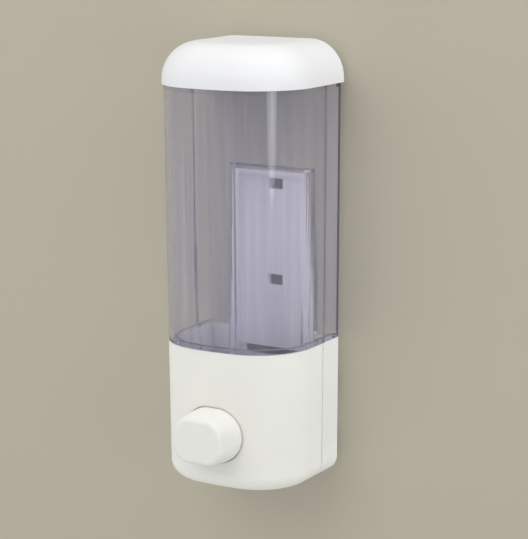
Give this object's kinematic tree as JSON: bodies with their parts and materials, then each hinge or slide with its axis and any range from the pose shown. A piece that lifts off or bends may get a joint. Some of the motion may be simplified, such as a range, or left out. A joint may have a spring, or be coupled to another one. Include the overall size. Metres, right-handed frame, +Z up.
{
  "type": "wall mounted soap dispenser",
  "caption": "Wall mounted soap dispenser with a clear tank, white lift-off lid, white base with a push button and pump, and a wall bracket that the tank slides down over.",
  "frame": {"origin": "middle of the wall pad's back face, on the wall plane", "axes": "+X to the right seen from the front, +Y into the wall, +Z up"},
  "size_m": [0.0786, 0.078, 0.2137],
  "materials": {
    "white_shell": "moulded white plastic, satin gloss",
    "bracket_white": "moulded white plastic, matt",
    "clear_tank": "clear moulded plastic with a faint violet tint",
    "foam_tape": "dark foam mounting tape",
    "silicone": "translucent silicone",
    "black_rubber": "black nitrile rubber",
    "pump_grey": "moulded grey plastic",
    "pump_white": "natural acetal",
    "steel": "plain stainless steel"
  },
  "bodies": {
    "bracket": {"wall_bracket": "bracket_white", "adhesive_pad": "foam_tape"},
    "dispenser": {"tank": "clear_tank", "tank_back": "clear_tank", "front_cover": "white_shell", "rear_frame": "white_shell", "pump_deck": "pump_grey", "cover_screws": "steel", "spigot_gasket": "silicone", "spigot_nut": "pump_grey", "pump_body": "pump_grey", "pump_screws": "steel", "inlet_o_ring": "black_rubber", "inlet_seat": "pump_white", "pump_cap": "pump_white", "rod_wiper": "black_rubber", "nozzle": "white_shell", "outlet_valve": "silicone", "spring_washer": "steel", "return_spring": "steel"},
    "button": {"push_button": "white_shell", "plunger": "pump_white", "piston_seal": "black_rubber"},
    "lid": {"lid": "white_shell"},
    "ball": {"inlet_ball": "steel"}
  },
  "joints": [
    {"name": "dispenser_lift", "type": "slide", "parent": "bracket", "child": "dispenser", "axis": [0, 0, 1], "range_m": [0, 0.04]},
    {"name": "button_press", "type": "slide", "parent": "dispenser", "child": "button", "axis": [0, 1, 0], "range_m": [0, 0.009], "stiffness_N_per_m": 700, "springref_m": -0.005, "deforming": ["return_spring"]},
    {"name": "lid_lift", "type": "slide", "parent": "dispenser", "child": "lid", "axis": [0, 0, 1], "range_m": [0, 0.03]},
    {"name": "ball_lift", "type": "slide", "parent": "dispenser", "child": "ball", "axis": [0, 0, 1], "range_m": [0, 0.0016]}
  ]
}
